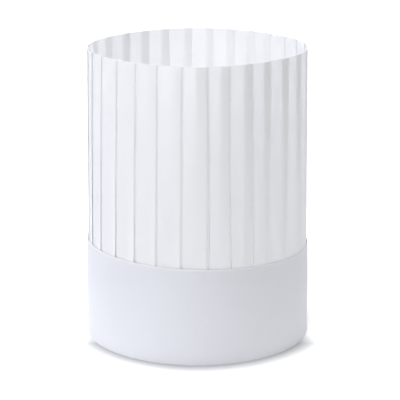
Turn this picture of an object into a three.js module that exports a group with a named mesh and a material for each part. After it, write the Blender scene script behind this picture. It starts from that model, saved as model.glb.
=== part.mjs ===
// Disposable pleated chef hat: a tall crown of pleated paper standing in a plain head band.
// Millimetres, +Z up, front towards -Y. The origin is the centre of the foot, on the surface
// that the hat stands on. Angles are in degrees from the front, and 90 is +X.
import * as THREE from "three";

// Whole hat, to fit an adult head about 600 mm round
const HAT_HEIGHT = 250;
const HAT_TOP_RADIUS = 93.8;

// Head band; the slant is how far its upper edge rises at -X and drops at +X
const BAND_HEIGHT = 80;
const BAND_SLANT = 2.2;
const BAND_FOOT_RADIUS = 96.4;
const BAND_TOP_RADIUS = 95.4;
const BAND_LAP = 15;
const BAND_FACET = 5;

// The open rim isn't quite round: shares of its radius, for the whole rim and for one,
// two and four waves round it
const RIM_FORM = { ease: -0.006, shift: -0.004, oval: 0.017, square: 0.016 };

// Foot of the crown, which is glued inside the band
const CROWN_FOOT_Z = 60;
const CROWN_FOOT_RADIUS = 93.9;
const CROWN_STEPS = 4;

// Wall thickness of the paper, and the air gap between folded layers
const WALL = 1;
const GAP = 0.4;

// One row for each knife pleat, in order round the hat, anticlockwise from above.
// edge: angle of the outer fold at the rim
// lap: how far the two hidden layers run back under the fold
// lean: how far round the fold has moved at the foot of the crown
const PLEATS = [
  { edge: -70.3, lap: 4.2, lean: 0.4 },
  { edge: -58.3, lap: 3.4, lean: -0.1 },
  { edge: -45.1, lap: 4.1, lean: -0.3 },
  { edge: -31.7, lap: 4.9, lean: -1.1 },
  { edge: -19.2, lap: 4.9, lean: -1.5 },
  { edge: -6.5, lap: 4.6, lean: -1.3 },
  { edge: 5.5, lap: 5.8, lean: 0 },
  { edge: 16.3, lap: 4.7, lean: 1.3 },
  { edge: 28.6, lap: 4.8, lean: 0.3 },
  { edge: 40.3, lap: 4.8, lean: -2.9 },
  { edge: 54.6, lap: 5.8, lean: -3.6 },
  { edge: 68.8, lap: 5.8, lean: 0.1 },
  { edge: 80.8, lap: 4.6, lean: 0 },
  { edge: 92.6, lap: 4.4, lean: 0.3 },
  { edge: 104.6, lap: 4.8, lean: 0.2 },
  { edge: 116.4, lap: 4.5, lean: -0.3 },
  { edge: 128.4, lap: 4.6, lean: 0 },
  { edge: 140.3, lap: 4.5, lean: 0.4 },
  { edge: 151.7, lap: 4.5, lean: 0.3 },
  { edge: 164.0, lap: 4.4, lean: -0.2 },
  { edge: 175.3, lap: 3.7, lean: 0 },
  { edge: 187.3, lap: 4.1, lean: -0.4 },
  { edge: 200.0, lap: 4.4, lean: -0.3 },
  { edge: 212.6, lap: 5.0, lean: 0.2 },
  { edge: 226.0, lap: 5.6, lean: 0.3 },
  { edge: 240.6, lap: 5.8, lean: 0 },
  { edge: 255.0, lap: 5.8, lean: -0.4 },
  { edge: 266.6, lap: 4.6, lean: -0.6 },
  { edge: 278.2, lap: 4.4, lean: -0.4 },
];

const COLOURS = {
  crown: 0xf1f1f5,
  head_band: 0xeceaf2,
};

function onCircle(radius, degrees) {
  const angle = THREE.MathUtils.degToRad(degrees);
  return new THREE.Vector2(radius * Math.sin(angle), -radius * Math.cos(angle));
}

// Stands a flat section up as a wall, then moves each point of it. The move gets the
// point's radius, its angle and its share of the height, and changes what it needs to.
function standUp(section, height, steps, move) {
  const geometry = new THREE.ExtrudeGeometry(section, { depth: height, steps, bevelEnabled: false });
  const position = geometry.getAttribute("position");
  for (let i = 0; i < position.count; i += 1) {
    const x = position.getX(i);
    const y = position.getY(i);
    const point = {
      radius: Math.hypot(x, y),
      degrees: THREE.MathUtils.radToDeg(Math.atan2(x, -y)),
      share: position.getZ(i) / height,
      z: position.getZ(i),
    };
    move(point);
    const flat = onCircle(point.radius, point.degrees);
    position.setXYZ(i, flat.x, flat.y, point.z);
  }
  geometry.computeVertexNormals();
  return geometry;
}

// Section of the crown at its rim: one long sheet of paper laid in knife pleats that all
// turn the same way. At each pleat the paper runs out to the fold edge, goes back
// underneath, turns again and comes out as the next panel, so a pleat is three layers.
function crownSection() {
  const outerLayer = HAT_TOP_RADIUS;
  const middleLayer = outerLayer - WALL - GAP;
  const innerLayer = middleLayer - WALL - GAP;
  const wallDegrees = THREE.MathUtils.radToDeg(WALL / outerLayer);
  const outside = [];
  const inside = [];
  for (const { edge, lap } of PLEATS) {
    const hiddenFold = edge - lap;
    outside.push(onCircle(outerLayer, hiddenFold));
    outside.push(onCircle(outerLayer, edge));
    outside.push(onCircle(middleLayer - WALL, edge));
    outside.push(onCircle(middleLayer - WALL, hiddenFold + wallDegrees));
    outside.push(onCircle(innerLayer, hiddenFold + wallDegrees));
    outside.push(onCircle(innerLayer, edge));
    inside.push(onCircle(outerLayer - WALL, hiddenFold));
    inside.push(onCircle(outerLayer - WALL, edge - wallDegrees));
    inside.push(onCircle(middleLayer, edge - wallDegrees));
    inside.push(onCircle(middleLayer, hiddenFold));
    inside.push(onCircle(innerLayer - WALL, hiddenFold));
    inside.push(onCircle(innerLayer - WALL, edge));
  }
  const section = new THREE.Shape(outside);
  section.holes.push(new THREE.Path(inside));
  return section;
}

// How far a point of the crown's foot is turned: the lean of the pleats on either side
function leanAt(degrees) {
  const first = PLEATS[0].edge;
  const angle = first + THREE.MathUtils.euclideanModulo(degrees - first, 360);
  const next = PLEATS.findIndex(({ edge }) => edge > angle);
  const after = next === -1 ? { ...PLEATS[0], edge: first + 360 } : PLEATS[next];
  const before = next === -1 ? PLEATS[PLEATS.length - 1] : PLEATS[next - 1];
  const between = THREE.MathUtils.inverseLerp(before.edge, after.edge, angle);
  return THREE.MathUtils.lerp(before.lean, after.lean, between);
}

// How far the crown is from round at its rim, as a share of the radius there
function rimForm(degrees) {
  const angle = THREE.MathUtils.degToRad(degrees);
  const { ease, shift, oval, square } = RIM_FORM;
  return ease + shift * Math.cos(angle) + oval * Math.cos(2 * angle) + square * Math.cos(4 * angle);
}

// How far the lapped ends of the band press the foot of the crown in at the back
function lapDent(degrees, share) {
  const fromBack = 180 - Math.abs(degrees);
  const across = 1 - THREE.MathUtils.smoothstep(fromBack, BAND_LAP, 2 * BAND_LAP);
  const upward = 1 - THREE.MathUtils.smoothstep(share, 0.1, 0.5);
  return (WALL + GAP) * across * upward;
}

// Crown: the pleated sheet, round in the band and a little narrower at its open rim
function makeCrown() {
  const height = HAT_HEIGHT - CROWN_FOOT_Z;
  const bandShare = (BAND_HEIGHT - CROWN_FOOT_Z) / height;
  const geometry = standUp(crownSection(), height, CROWN_STEPS, (point) => {
    const fromRim = 1 - point.share;
    const aboveBand = Math.max(0, (point.share - bandShare) / (1 - bandShare));
    point.radius += (CROWN_FOOT_RADIUS - HAT_TOP_RADIUS) * fromRim;
    point.radius += HAT_TOP_RADIUS * rimForm(point.degrees) * aboveBand;
    point.radius -= lapDent(point.degrees, point.share);
    point.degrees += leanAt(point.degrees) * fromRim;
  });
  const material = new THREE.MeshStandardMaterial({
    color: COLOURS.crown,
    roughness: 0.85,
    metalness: 0,
  });
  const crown = new THREE.Mesh(geometry, material);
  crown.name = "crown";
  crown.position.z = CROWN_FOOT_Z;
  return crown;
}

// Section of the head band at its foot: a strip whose ends lap at the back. The end
// that lies underneath runs on a smaller radius until it is clear of the other one.
function bandSection() {
  const start = 180 - BAND_LAP / 2;
  const outside = [];
  const inside = [];
  for (let turn = 0; turn <= 360 + BAND_LAP; turn += BAND_FACET) {
    const underLap = turn <= BAND_LAP;
    const radius = underLap ? BAND_FOOT_RADIUS - WALL - GAP : BAND_FOOT_RADIUS;
    const degrees = start + turn + (turn === BAND_LAP ? 1 : 0);
    outside.push(onCircle(radius, degrees));
    inside.unshift(onCircle(radius - WALL, degrees));
  }
  return new THREE.Shape(outside.concat(inside));
}

// Head band: a stiff smooth strip with a cut edge, drawn in slightly towards its top
function makeHeadBand() {
  const geometry = standUp(bandSection(), BAND_HEIGHT, 1, (point) => {
    const acrossHat = Math.sin(THREE.MathUtils.degToRad(point.degrees));
    point.radius += (BAND_TOP_RADIUS - BAND_FOOT_RADIUS) * point.share;
    point.z -= BAND_SLANT * acrossHat * point.share;
  });
  const material = new THREE.MeshStandardMaterial({
    color: COLOURS.head_band,
    roughness: 0.6,
    metalness: 0,
  });
  const band = new THREE.Mesh(geometry, material);
  band.name = "head_band";
  return band;
}

const hat = new THREE.Group();
hat.name = "chef_hat";
hat.add(makeHeadBand());
hat.add(makeCrown());

export default hat;
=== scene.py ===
# Disposable chef hat: a tall crown of knife-pleated white paper glued into a plain head
# band, standing on a white studio table. Metres; the front of the hat faces -Y.
from math import cos, pi, radians, sin

import bpy
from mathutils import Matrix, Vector


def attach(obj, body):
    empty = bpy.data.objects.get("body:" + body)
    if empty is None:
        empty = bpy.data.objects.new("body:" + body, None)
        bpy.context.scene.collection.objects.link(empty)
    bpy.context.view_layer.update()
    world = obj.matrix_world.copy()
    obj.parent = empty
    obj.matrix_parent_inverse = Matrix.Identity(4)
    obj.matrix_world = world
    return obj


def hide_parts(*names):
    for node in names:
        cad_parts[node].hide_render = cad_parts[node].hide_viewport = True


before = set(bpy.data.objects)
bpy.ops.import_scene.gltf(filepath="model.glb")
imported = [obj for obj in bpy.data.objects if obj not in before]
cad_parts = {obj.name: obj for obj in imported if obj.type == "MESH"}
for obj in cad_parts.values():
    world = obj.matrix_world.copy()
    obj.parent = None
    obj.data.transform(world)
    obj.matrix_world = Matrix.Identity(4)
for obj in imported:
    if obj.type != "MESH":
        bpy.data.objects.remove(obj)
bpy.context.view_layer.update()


# Camera
# A long lens, 1.4 m from the middle of the hat and about 15 degrees above it, so that the
# far inner wall of the crown shows over the near rim.
CAMERA_DISTANCE = 1.400
CAMERA_ELEVATION = radians(14.9)
CAMERA_LENS = 145.8
CAMERA_SENSOR = 36
HAT_MIDDLE = Vector((0, 0, 0.125))
CAMERA_AIM = Vector((0.0021, 0, 0.1155))

camera_data = bpy.data.cameras.new("camera")
camera_data.lens = CAMERA_LENS
camera_data.sensor_width = CAMERA_SENSOR
camera = bpy.data.objects.new("camera", camera_data)
away = Vector((0, -cos(CAMERA_ELEVATION), sin(CAMERA_ELEVATION)))
camera.location = HAT_MIDDLE + away * CAMERA_DISTANCE
camera.rotation_euler = (CAMERA_AIM - camera.location).to_track_quat("-Z", "Y").to_euler()
bpy.context.scene.collection.objects.link(camera)
bpy.context.scene.camera = camera


# Paper of both pieces
# Both are matt white paper without print. Light comes through it, less where it lies
# double, and its fibres show as faint clouds and as a fine grain.
FIBRE_ROUGHNESS = 0.6
CLOUD_DETAIL = 4.0
GRAIN_DETAIL = 2.0
GRAIN_STRENGTH = 0.6
PAPER_SHINE = 0.25


def paper_fibres():
    """Clouds and grain of a sheet of paper, as masks round 0.5, drawn out along its height."""
    group = bpy.data.node_groups.new("Paper fibres", "ShaderNodeTree")
    face = group.interface
    face.new_socket("Place", in_out="INPUT", socket_type="NodeSocketVector")
    for name in ("Cloud size", "Grain size", "Streak"):
        face.new_socket(name, in_out="INPUT", socket_type="NodeSocketFloat")
    for name in ("Clouds", "Grain"):
        face.new_socket(name, in_out="OUTPUT", socket_type="NodeSocketFloat")
    nodes = group.nodes
    link = group.links.new
    entry = nodes.new("NodeGroupInput")
    leave = nodes.new("NodeGroupOutput")

    def one_over(socket):
        node = nodes.new("ShaderNodeMath")
        node.operation = "DIVIDE"
        node.inputs[0].default_value = 1.0
        link(socket, node.inputs[1])
        return node.outputs[0]

    squash = nodes.new("ShaderNodeCombineXYZ")
    squash.inputs["X"].default_value = 1.0
    squash.inputs["Y"].default_value = 1.0
    link(one_over(entry.outputs["Streak"]), squash.inputs["Z"])
    place = nodes.new("ShaderNodeVectorMath")
    place.operation = "MULTIPLY"
    link(entry.outputs["Place"], place.inputs[0])
    link(squash.outputs[0], place.inputs[1])
    masks = (("Clouds", "Cloud size", CLOUD_DETAIL), ("Grain", "Grain size", GRAIN_DETAIL))
    for output, size, detail in masks:
        noise = nodes.new("ShaderNodeTexNoise")
        noise.inputs["Detail"].default_value = detail
        noise.inputs["Roughness"].default_value = FIBRE_ROUGHNESS
        link(place.outputs[0], noise.inputs["Vector"])
        link(one_over(entry.outputs[size]), noise.inputs["Scale"])
        link(noise.outputs["Fac"], leave.inputs[output])
    return group


FIBRES = paper_fibres()


def paper(name, pale, shade, through, pressed, roughness, grain_depth, sizes):
    """Matt paper between two close colours.

    through and pressed: shares of the light that come through where the paper lies single,
    by its attribute single_layer, and everywhere else.
    """
    material = bpy.data.materials.new(name)
    material.use_nodes = True
    nodes = material.node_tree.nodes
    link = material.node_tree.links.new
    nodes.clear()
    place = nodes.new("ShaderNodeTexCoord")
    fibres = nodes.new("ShaderNodeGroup")
    fibres.node_tree = FIBRES
    link(place.outputs["Object"], fibres.inputs["Place"])
    for socket, value in sizes.items():
        fibres.inputs[socket].default_value = value
    colour = nodes.new("ShaderNodeMix")
    colour.data_type = "RGBA"
    colour.inputs["A"].default_value = (*shade, 1)
    colour.inputs["B"].default_value = (*pale, 1)
    link(fibres.outputs["Clouds"], colour.inputs["Factor"])
    bump = nodes.new("ShaderNodeBump")
    bump.inputs["Distance"].default_value = grain_depth
    bump.inputs["Strength"].default_value = GRAIN_STRENGTH
    link(fibres.outputs["Grain"], bump.inputs["Height"])
    surface = nodes.new("ShaderNodeBsdfPrincipled")
    surface.inputs["Roughness"].default_value = roughness
    surface.inputs["Specular IOR Level"].default_value = PAPER_SHINE
    link(colour.outputs["Result"], surface.inputs["Base Color"])
    link(bump.outputs["Normal"], surface.inputs["Normal"])
    glow = nodes.new("ShaderNodeBsdfTranslucent")
    link(colour.outputs["Result"], glow.inputs["Color"])
    layers = nodes.new("ShaderNodeAttribute")
    layers.attribute_name = "single_layer"
    single = nodes.new("ShaderNodeMath")
    single.operation = "GREATER_THAN"
    single.inputs[1].default_value = 0
    link(layers.outputs["Fac"], single.inputs[0])
    passed = nodes.new("ShaderNodeMix")
    passed.inputs["A"].default_value = pressed
    passed.inputs["B"].default_value = through
    link(single.outputs[0], passed.inputs["Factor"])
    mix = nodes.new("ShaderNodeMixShader")
    link(passed.outputs["Result"], mix.inputs["Fac"])
    link(surface.outputs[0], mix.inputs[1])
    link(glow.outputs[0], mix.inputs[2])
    output = nodes.new("ShaderNodeOutputMaterial")
    link(mix.outputs[0], output.inputs["Surface"])
    return material


# Head band
# A strip of smooth stiff paper, wound round the foot of the crown and glued at the back,
# where its free end lies over the other one. Both long edges are cut.
BAND_HEIGHT = 0.0825
BAND_FOOT_RADIUS = 0.0964
BAND_TOP_RADIUS = 0.0958
BAND_PAPER = 0.0003
BAND_CUT_ROUNDING = 0.3 * BAND_PAPER
BAND_COLUMNS = 216
BAND_ROWS = 20
SHARP_ANGLE = radians(50)

# How far the upper edge rises at -X and drops at +X
BAND_SLANT = 0.0024

# The last stretch below the upper edge, and how far the paper turns in there
BAND_EDGE = 0.0010
BAND_EDGE_EASE = 0.0004

# The lap, how far its outer end lies over the inner one, and the turn that it steps out in
BAND_LAP = radians(15)
BAND_LAP_STEP = 0.0004
BAND_STEP_TURN = radians(5)

# Faint waves in the paper: their depth, how many go round, and how far each leans
BAND_WAVES = [(0.00006, 3, 2), (0.00004, 7, -5)]


def band_point(turn, up):
    """A point of the band: turn runs round it from the inner end to the outer one."""
    angle = pi - BAND_LAP / 2 + turn
    over = min(max((turn - 2 * pi) / BAND_STEP_TURN + 1, 0), 1)
    radius = BAND_FOOT_RADIUS + (BAND_TOP_RADIUS - BAND_FOOT_RADIUS) * up + BAND_LAP_STEP * over
    radius += sum(depth * sin(count * angle + lean * up) for depth, count, lean in BAND_WAVES)
    z = up * (BAND_HEIGHT - BAND_SLANT * sin(angle))
    below_edge = (1 - up) * BAND_HEIGHT / BAND_EDGE
    radius -= BAND_EDGE_EASE * max(1 - below_edge, 0) ** 2
    return (radius * sin(angle), -radius * cos(angle), z)


def make_head_band():
    # The rows lie closer together towards the upper edge, where the paper turns in
    whole_turn = 2 * pi + BAND_LAP
    points = [
        band_point(whole_turn * column / BAND_COLUMNS, 1 - (1 - row / BAND_ROWS) ** 2)
        for column in range(BAND_COLUMNS + 1)
        for row in range(BAND_ROWS + 1)
    ]
    stride = BAND_ROWS + 1
    faces = [
        (a, a + stride, a + stride + 1, a + 1)
        for column in range(BAND_COLUMNS)
        for a in range(column * stride, column * stride + BAND_ROWS)
    ]
    mesh = bpy.data.meshes.new("head_band_paper")
    mesh.from_pydata(points, [], faces)
    band = bpy.data.objects.new("head_band_paper", mesh)
    bpy.context.scene.collection.objects.link(band)
    thick = band.modifiers.new("paper", "SOLIDIFY")
    thick.thickness = BAND_PAPER
    thick.offset = -1
    soften = band.modifiers.new("cut edges", "BEVEL")
    soften.width = BAND_CUT_ROUNDING
    soften.segments = 2
    soften.limit_method = "ANGLE"
    soften.angle_limit = SHARP_ANGLE
    mesh.shade_smooth()
    return band


head_band = make_head_band()
head_band.data.materials.append(
    paper(
        "band paper",
        pale=(0.857, 0.864, 0.896),
        shade=(0.838, 0.845, 0.88),
        through=0.12,
        pressed=0.12,
        roughness=0.62,
        grain_depth=0.00004,
        sizes={"Cloud size": 0.012, "Grain size": 0.0007, "Streak": 1.5},
    )
)
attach(head_band, "root")
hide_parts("head_band")


# Crown
# One long sheet of thin paper in knife pleats that all turn the same way, glued to a tube
# and into the band. Each pleat is the panel that shows, a layer that runs back beneath
# its fold, and the hidden start of the next panel. The rim is a plain cut edge.
CROWN_FOOT = 0.060
CROWN_RIM = 0.250
CROWN_FOOT_RADIUS = 0.0950
CROWN_RIM_RADIUS = 0.0937
CROWN_PAPER = 0.00012
LAYER_GAP = 0.0003
PLEAT_STEPS = 32
CROWN_ROWS = 36
WELD = 0.00001

# The paper swells: how far, how closely over the hat, and how much closer upward
PAPER_SWELL = 0.0005
SWELL_CLOSENESS = 3.5
SWELL_UPWARD = 1.2

# The open rim isn't quite round: shares of its radius, from the band up to the rim
RIM_EASE = -0.004
RIM_SHIFT = -0.008
RIM_OVAL = 0.016
RIM_SQUARE = 0.016

# One row for each pleat, anticlockwise from above; angles in degrees from the front.
# edge: angle at the rim where the next panel begins, lap: width of the layers before it
# lean and bow: how far the fold has moved at the foot, and at half height
# slim: how much narrower the hidden layers are at the foot
# lift: how far the fold stands open at the foot, as a share of the depths at_foot below
# slot: how far short of the next panel the fold ends, so that a narrow slot is left
PLEAT_COLUMNS = ("edge", "lap", "lean", "bow", "slim", "lift", "slot")
PLEATS = [
    (-70.3, 4.2, 0.4, -0.8, 0.0, 0.9, 1.0),
    (-58.3, 3.0, -0.1, -0.5, 0.0, 1.0, 1.0),
    (-45.1, 4.1, -0.3, 0.0, 0.0, 1.0, 1.0),
    (-31.7, 4.9, -1.1, -0.1, 0.0, 1.0, 1.0),
    (-19.2, 4.9, -1.5, 0.1, 0.0, 1.0, 1.0),
    (-6.5, 4.6, -1.3, 0.1, 0.0, 1.1, 1.1),
    (5.5, 6.2, 0.0, 0.5, 0.0, 1.0, 1.0),
    (16.3, 4.8, 1.3, -0.5, 0.0, 0.3, 0.5),
    (28.6, 5.0, 0.3, 0.1, 0.0, 0.6, 0.1),
    (40.3, 4.8, -2.9, 0.1, 3.2, 0.3, 0.0),
    (54.6, 6.0, -3.6, 0.4, 3.6, 0.3, 0.0),
    (68.8, 6.6, 0.1, -0.6, 2.0, 0.6, 0.2),
    (80.8, 4.6, 0.0, 0.1, 0.0, 0.9, 0.4),
    (92.6, 4.4, 0.3, 0.0, 0.0, 1.0, 0.5),
    (104.6, 4.8, 0.2, -0.2, 0.0, 0.7, 0.7),
    (116.4, 4.5, -0.3, 0.0, 0.0, 1.0, 0.6),
    (128.4, 4.6, 0.0, 0.2, 0.0, 1.0, 0.8),
    (140.3, 4.5, 0.4, 0.0, 1.0, 0.6, 0.6),
    (151.7, 4.5, 0.3, -0.1, 0.0, 1.0, 0.5),
    (164.0, 4.4, -0.2, 0.0, 0.0, 0.9, 0.7),
    (175.3, 3.7, 0.0, 0.2, 0.0, 1.0, 0.6),
    (187.3, 4.1, -0.4, 0.0, 0.0, 0.8, 0.8),
    (200.0, 4.4, -0.3, -0.2, 0.0, 1.0, 0.7),
    (212.6, 5.0, 0.2, 0.0, 0.0, 1.0, 0.6),
    (226.0, 5.6, 0.3, 0.1, 1.0, 0.7, 0.8),
    (240.6, 6.0, 0.0, 0.0, 0.0, 1.0, 0.7),
    (255.0, 6.0, -0.4, -0.1, 0.0, 0.9, 0.6),
    (266.6, 4.6, -0.6, 0.0, 0.0, 1.0, 0.8),
    (278.2, 4.4, -0.4, 0.2, 0.0, 1.0, 0.9),
]

# The way of the paper through one pleat, in PLEAT_STEPS steps from one hidden fold to the
# next. station: 0 at the hidden fold before, 1 at the panel's beginning, 2 at the hidden
# fold, 3 at the fold edge. at_rim and at_foot: depth below the outer face, in layers.
PLEAT_WAY_COLUMNS = ("step", "station", "at_rim", "at_foot")
PLEAT_WAY = [
    (0, 0.00, 1.95, 1.75),
    (1, 0.03, 2.25, 2.15),
    (2, 0.08, 2.30, 2.25),
    (4, 0.50, 2.30, 3.40),
    (5, 0.80, 2.20, 4.30),
    (6, 0.98, 2.15, 4.60),
    (7, 1.00, 1.95, 2.60),
    (8, 1.02, 1.75, 1.05),
    (9, 1.06, 1.68, 0.90),
    (12, 1.50, 1.25, 0.65),
    (15, 2.00, 0.75, 0.30),
    (17, 2.30, 0.48, 0.08),
    (19, 2.60, 0.24, -0.05),
    (21, 2.88, 0.06, 0.00),
    (22, 2.97, 0.12, 0.15),
    (23, 3.00, 0.40, 0.45),
    (24, 2.97, 0.75, 0.80),
    (25, 2.90, 0.95, 1.00),
    (28, 2.50, 1.20, 1.10),
    (30, 2.08, 1.42, 1.25),
    (31, 2.03, 1.52, 1.35),
    (32, 2.00, 1.95, 1.75),
]
PANEL_STEPS = (8, 15)

# How the pleats open towards the band: by this power of the way down
PLEAT_OPENING = 1.4


def pleat_tree():
    """Geometry nodes that lay one pleat at each point and close them to a tube."""
    tree = bpy.data.node_groups.new("Knife pleats", "GeometryNodeTree")
    tree.is_modifier = True
    nodes = tree.nodes
    link = tree.links.new
    face = tree.interface
    face.new_socket("Pleats", in_out="INPUT", socket_type="NodeSocketGeometry")
    for name in ("Foot height", "Band height", "Rim height", "Foot radius", "Rim radius"):
        face.new_socket(name, in_out="INPUT", socket_type="NodeSocketFloat")
    for name in ("Layer gap", "Swell", "Rim ease", "Rim shift", "Rim oval", "Rim square"):
        face.new_socket(name, in_out="INPUT", socket_type="NodeSocketFloat")
    face.new_socket("Paper", in_out="INPUT", socket_type="NodeSocketMaterial")
    face.new_socket("Crown", in_out="OUTPUT", socket_type="NodeSocketGeometry")
    entry = nodes.new("NodeGroupInput")

    def maths(operation, *values):
        node = nodes.new("ShaderNodeMath")
        node.operation = operation
        for socket, value in zip(node.inputs, values):
            if isinstance(value, bpy.types.NodeSocket):
                link(value, socket)
            else:
                socket.default_value = value
        return node.outputs[0]

    def blend(start, end, share):
        return maths("MULTIPLY_ADD", maths("SUBTRACT", end, start), share, start)

    def named(name):
        node = nodes.new("GeometryNodeInputNamedAttribute")
        node.data_type = "FLOAT"
        node.inputs["Name"].default_value = name
        return node.outputs["Attribute"]

    def store(geometry, name, value):
        node = nodes.new("GeometryNodeStoreNamedAttribute")
        node.data_type = "FLOAT"
        node.domain = "POINT"
        node.inputs["Name"].default_value = name
        link(geometry, node.inputs["Geometry"])
        link(value, node.inputs["Value"])
        return node.outputs["Geometry"]

    def along_way(column, along):
        """The pleat's way as a graph over its steps."""
        node = nodes.new("ShaderNodeFloatCurve")
        mapping = node.mapping
        mapping.use_clip = False
        points = mapping.curves[0].points
        value_at = PLEAT_WAY_COLUMNS.index(column)
        while len(points) < len(PLEAT_WAY):
            points.new(0.5, 0.5)
        for point, row in zip(points, PLEAT_WAY):
            point.location = (row[0] / PLEAT_STEPS, row[value_at])
            point.handle_type = "VECTOR"
        mapping.update()
        link(along, node.inputs["Value"])
        return node.outputs["Value"]

    # One flat pleat, its places stored as shares along the paper and up the crown
    grid = nodes.new("GeometryNodeMeshGrid")
    grid.inputs["Size X"].default_value = 1
    grid.inputs["Size Y"].default_value = 1
    grid.inputs["Vertices X"].default_value = PLEAT_STEPS + 1
    grid.inputs["Vertices Y"].default_value = CROWN_ROWS + 1
    place = nodes.new("ShaderNodeSeparateXYZ")
    link(nodes.new("GeometryNodeInputPosition").outputs[0], place.inputs[0])
    sheet = store(grid.outputs["Mesh"], "along", maths("ADD", place.outputs["X"], 0.5))
    sheet = store(sheet, "up", maths("ADD", place.outputs["Y"], 0.5))
    copies = nodes.new("GeometryNodeInstanceOnPoints")
    link(entry.outputs["Pleats"], copies.inputs["Points"])
    link(sheet, copies.inputs["Instance"])
    real = nodes.new("GeometryNodeRealizeInstances")
    link(copies.outputs[0], real.inputs[0])

    # Above 0 only on the panel, where the paper lies single
    along = named("along")
    begin = maths("SUBTRACT", along, PANEL_STEPS[0] / PLEAT_STEPS)
    end = maths("SUBTRACT", PANEL_STEPS[1] / PLEAT_STEPS, along)
    on_panel = maths("MAXIMUM", maths("MINIMUM", begin, end), -0.01)
    marked = store(real.outputs[0], "single_layer", on_panel)

    # Angles of the folds at this height, and of those of the pleat before; the bow is
    # largest at half height
    up = named("up")
    down = maths("SUBTRACT", 1.0, up)
    middle = maths("MULTIPLY", maths("MULTIPLY", up, down), 4.0)

    def folds(prefix):
        edge = maths("MULTIPLY_ADD", named(prefix + "lean"), down, named(prefix + "edge"))
        edge = maths("MULTIPLY_ADD", named(prefix + "bow"), middle, edge)
        slimmer = maths("MULTIPLY", named(prefix + "slim"), down)
        lap = maths("SUBTRACT", named(prefix + "lap"), slimmer)
        return edge, maths("SUBTRACT", edge, lap)

    next_panel, hidden = folds("")
    panel, hidden_before = folds("before_")
    edge = maths("SUBTRACT", next_panel, named("slot"))

    # Round the hat: station 0 to 3 leads over the four folds in turn
    station = along_way("station", along)

    def share_of_way(passed):
        share = maths("SUBTRACT", station, float(passed))
        return maths("MINIMUM", maths("MAXIMUM", share, 0.0), 1.0)

    angle = hidden_before
    turns = ((panel, hidden_before), (hidden, panel), (edge, hidden))
    for passed, (end, start) in enumerate(turns):
        angle = maths("MULTIPLY_ADD", maths("SUBTRACT", end, start), share_of_way(passed), angle)

    # In and out: pressed nearly flat at the rim, standing open towards the band
    at_rim = along_way("at_rim", along)
    lift = blend(named("before_lift"), named("lift"), share_of_way(1))
    opened = maths("MULTIPLY", lift, maths("SUBTRACT", along_way("at_foot", along), at_rim))
    depth = maths("MULTIPLY_ADD", opened, maths("POWER", down, PLEAT_OPENING), at_rim)
    height = blend(entry.outputs["Foot height"], entry.outputs["Rim height"], up)

    # The paper swells slightly, all of its layers together
    spot = nodes.new("ShaderNodeCombineXYZ")
    link(maths("SINE", angle), spot.inputs["X"])
    link(maths("COSINE", angle), spot.inputs["Y"])
    link(maths("MULTIPLY", up, SWELL_UPWARD), spot.inputs["Z"])
    waves = nodes.new("ShaderNodeTexNoise")
    waves.inputs["Scale"].default_value = SWELL_CLOSENESS
    waves.inputs["Detail"].default_value = 1.0
    link(spot.outputs[0], waves.inputs["Vector"])
    wave = maths("SUBTRACT", waves.outputs["Fac"], 0.5)
    swell = maths("MULTIPLY", wave, entry.outputs["Swell"])

    # Round at the band, and away from round by the rim
    above_band = maths("SUBTRACT", height, entry.outputs["Band height"])
    whole = maths("SUBTRACT", entry.outputs["Rim height"], entry.outputs["Band height"])
    share = maths("MAXIMUM", maths("DIVIDE", above_band, whole), 0.0)
    form = entry.outputs["Rim ease"]
    for turns, name in ((1.0, "Rim shift"), (2.0, "Rim oval"), (4.0, "Rim square")):
        wave = maths("COSINE", maths("MULTIPLY", angle, turns))
        form = maths("MULTIPLY_ADD", wave, entry.outputs[name], form)
    radius = blend(entry.outputs["Foot radius"], entry.outputs["Rim radius"], up)
    radius = maths("MULTIPLY", radius, maths("MULTIPLY_ADD", form, share, 1.0))
    radius = maths("SUBTRACT", radius, maths("MULTIPLY", depth, entry.outputs["Layer gap"]))
    radius = maths("MULTIPLY_ADD", swell, share, radius)

    round_hat = nodes.new("ShaderNodeCombineXYZ")
    to_front = maths("MULTIPLY", radius, -1.0)
    link(maths("MULTIPLY", maths("SINE", angle), radius), round_hat.inputs["X"])
    link(maths("MULTIPLY", maths("COSINE", angle), to_front), round_hat.inputs["Y"])
    link(height, round_hat.inputs["Z"])
    move = nodes.new("GeometryNodeSetPosition")
    link(marked, move.inputs["Geometry"])
    link(round_hat.outputs[0], move.inputs["Position"])
    weld = nodes.new("GeometryNodeMergeByDistance")
    weld.inputs["Distance"].default_value = WELD
    link(move.outputs[0], weld.inputs["Geometry"])
    finish = nodes.new("GeometryNodeSetMaterial")
    link(weld.outputs[0], finish.inputs["Geometry"])
    link(entry.outputs["Paper"], finish.inputs["Material"])
    leave = nodes.new("NodeGroupOutput")
    link(finish.outputs[0], leave.inputs["Crown"])
    return tree


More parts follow.
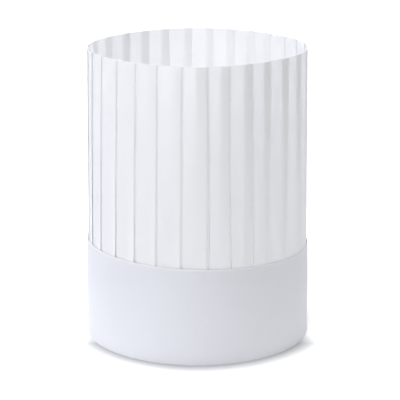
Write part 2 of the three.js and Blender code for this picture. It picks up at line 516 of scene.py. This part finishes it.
def make_crown(material):
    # The pleats as bare points, each with its own row and the row before it
    start = bpy.data.meshes.new("pleat points")
    start.from_pydata([(0, 0, 0)] * len(PLEATS), [], [])
    for column, name in enumerate(PLEAT_COLUMNS):
        own = [row[column] if name == "lift" else radians(row[column]) for row in PLEATS]
        before = own[-1:] + own[:-1]
        if name == "edge":
            before[0] -= 2 * pi
        start.attributes.new(name, "FLOAT", "POINT").data.foreach_set("value", own)
        start.attributes.new("before_" + name, "FLOAT", "POINT").data.foreach_set("value", before)
    maker = bpy.data.objects.new("pleats", start)
    bpy.context.scene.collection.objects.link(maker)
    pleat = maker.modifiers.new("pleats", "NODES")
    pleat.node_group = pleat_tree()
    values = {
        "Foot height": CROWN_FOOT,
        "Band height": BAND_HEIGHT,
        "Rim height": CROWN_RIM,
        "Foot radius": CROWN_FOOT_RADIUS,
        "Rim radius": CROWN_RIM_RADIUS,
        "Layer gap": LAYER_GAP,
        "Swell": PAPER_SWELL,
        "Rim ease": RIM_EASE,
        "Rim shift": RIM_SHIFT,
        "Rim oval": RIM_OVAL,
        "Rim square": RIM_SQUARE,
        "Paper": material,
    }
    for item in pleat.node_group.interface.items_tree:
        if item.in_out == "INPUT" and item.name in values:
            pleat[item.identifier] = values[item.name]
    thick = maker.modifiers.new("paper", "SOLIDIFY")
    thick.thickness = CROWN_PAPER
    thick.offset = 0
    seen = maker.evaluated_get(bpy.context.evaluated_depsgraph_get())
    mesh = bpy.data.meshes.new_from_object(seen)
    mesh.name = "crown_paper"
    for name in PLEAT_COLUMNS:
        mesh.attributes.remove(mesh.attributes[name])
        mesh.attributes.remove(mesh.attributes["before_" + name])
    mesh.shade_smooth()
    mesh.set_sharp_from_angle(angle=SHARP_ANGLE)
    bpy.data.objects.remove(maker)
    crown = bpy.data.objects.new("crown_paper", mesh)
    bpy.context.scene.collection.objects.link(crown)
    return crown


crown = make_crown(
    paper(
        "crown paper",
        pale=(0.985, 0.985, 0.99),
        shade=(0.965, 0.966, 0.974),
        through=0.50,
        pressed=0.11,
        roughness=0.85,
        grain_depth=0.00006,
        sizes={"Cloud size": 0.006, "Grain size": 0.0005, "Streak": 3.0},
    )
)
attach(crown, "root")
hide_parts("crown")


# Table and light
# A white table in a white room under soft studio light, strongest from the front and the
# left, with lamps overhead that shine into the open crown. None of this belongs to the hat.
TABLE_HALF = 3.0
TABLE_WHITE = 0.95
TABLE_ROUGHNESS = 0.9

# What the camera alone sees of the table: a painted shadow in front of the foot, deepest where
# the band touches, with none within the hat or behind it, and plain white further out
PAINTED_CONTACT_SHADE = 0.36
CONTACT_REACH = 0.114
UNSHADED = 0.6
INNER_FACE = (0.0950, 0.0960)
BEHIND = (-0.045, -0.018)
PLAIN_WHITE = (0.18, 0.5)


def make_table():
    mesh = bpy.data.meshes.new("table")
    half = TABLE_HALF
    corners = [(-half, -half, 0), (half, -half, 0), (half, half, 0), (-half, half, 0)]
    mesh.from_pydata(corners, [], [(0, 1, 2, 3)])
    table = bpy.data.objects.new("table", mesh)
    bpy.context.scene.collection.objects.link(table)
    material = bpy.data.materials.new("table top")
    material.use_nodes = True
    nodes = material.node_tree.nodes
    link = material.node_tree.links.new
    surface = nodes["Principled BSDF"]
    surface.inputs["Roughness"].default_value = TABLE_ROUGHNESS
    place = nodes.new("ShaderNodeTexCoord")
    reach = nodes.new("ShaderNodeVectorMath")
    reach.operation = "LENGTH"
    link(place.outputs["Object"], reach.inputs[0])
    from_middle = reach.outputs["Value"]
    apart = nodes.new("ShaderNodeSeparateXYZ")
    link(place.outputs["Object"], apart.inputs[0])
    camera_ray = nodes.new("ShaderNodeLightPath").outputs["Is Camera Ray"]

    def ramp(value, from_min, from_max, to_min, to_max):
        node = nodes.new("ShaderNodeMapRange")
        names = ("From Min", "From Max", "To Min", "To Max")
        for name, number in zip(names, (from_min, from_max, to_min, to_max)):
            node.inputs[name].default_value = number
        link(value, node.inputs["Value"])
        return node.outputs["Result"]

    def maths(operation, one, other):
        node = nodes.new("ShaderNodeMath")
        node.operation = operation
        link(one, node.inputs[0])
        link(other, node.inputs[1])
        return node.outputs["Value"]

    # Painted shadow in the table's colour, for camera rays only: darkest at the band's foot and
    # fading to white; light bounces off plain white
    at_foot = ramp(from_middle, BAND_FOOT_RADIUS, CONTACT_REACH, PAINTED_CONTACT_SHADE, TABLE_WHITE)
    within = ramp(from_middle, *INNER_FACE, UNSHADED, 0)
    behind = ramp(apart.outputs["Y"], *BEHIND, 0, UNSHADED)
    shade = maths("ADD", maths("ADD", at_foot, within), behind)
    shaded = nodes.new("ShaderNodeMix")
    shaded.inputs["A"].default_value = TABLE_WHITE
    link(ramp(shade, 0, TABLE_WHITE, 0, TABLE_WHITE), shaded.inputs["B"])
    link(camera_ray, shaded.inputs["Factor"])
    link(shaded.outputs["Result"], surface.inputs["Base Color"])
    white = maths("MULTIPLY", ramp(from_middle, *PLAIN_WHITE, 0, 1), camera_ray)
    surface.inputs["Emission Color"].default_value = (1, 1, 1, 1)
    link(white, surface.inputs["Emission Strength"])
    mesh.materials.append(material)
    return table


make_table()

WINDOW_LIGHT = (0.905, 0.93, 1.0)
ROOM_LIGHT = (0.982, 0.985, 1.0)
UPPER_HALF = (0, 0, 0.15)
LAMP_BLEND = 0.6
LAMP_SIZE = 0.12


def place_light(name, data, place, aim, power, colour):
    data.energy = power
    data.color = colour
    light = bpy.data.objects.new(name, data)
    light.location = place
    light.rotation_euler = (Vector(aim) - Vector(place)).to_track_quat("-Z", "Y").to_euler()
    bpy.context.scene.collection.objects.link(light)


def area_light(name, place, width, height, power, colour):
    data = bpy.data.lights.new(name, "AREA")
    data.shape = "RECTANGLE"
    data.size = width
    data.size_y = height
    place_light(name, data, place, UPPER_HALF, power, colour)


def lamp(name, place, beam, power, colour):
    data = bpy.data.lights.new(name, "SPOT")
    data.spot_size = radians(beam)
    data.spot_blend = LAMP_BLEND
    data.shadow_soft_size = LAMP_SIZE
    place_light(name, data, place, (0, 0, CROWN_RIM), power, colour)


area_light("left window", (-1.9, -0.6, 0.9), 1.1, 1.5, 13.0, WINDOW_LIGHT)
area_light("right side", (2.0, 0, 0.9), 2.0, 1.5, 4.0, ROOM_LIGHT)
area_light("behind left", (-1.5, 1.5, 1.0), 1.6, 1.5, 24.5, WINDOW_LIGHT)
area_light("behind right", (1.5, 1.5, 1.0), 1.6, 1.5, 22.0, ROOM_LIGHT)
lamp("front lamp", (0, -0.75, 1.45), 60, 63.0, ROOM_LIGHT)
lamp("left lamp", (-0.6, -0.45, 1.45), 60, 14.0, WINDOW_LIGHT)
lamp("back left lamp", (-0.7, 0.6, 1.45), 60, 11.0, WINDOW_LIGHT)
lamp("back lamp", (0, 0.75, 1.45), 60, 18.0, ROOM_LIGHT)
lamp("top lamp", (0, 0, 2.4), 12, 46.0, ROOM_LIGHT)

# The room past the table's edge is white for the camera, and lights nothing
world = bpy.data.worlds.new("room")
world.use_nodes = True
room = world.node_tree.nodes["Background"]
room.inputs["Color"].default_value = (1, 1, 1, 1)
camera_ray = world.node_tree.nodes.new("ShaderNodeLightPath").outputs["Is Camera Ray"]
world.node_tree.links.new(camera_ray, room.inputs["Strength"])
bpy.context.scene.world = world
bpy.context.scene.view_settings.view_transform = "Standard"
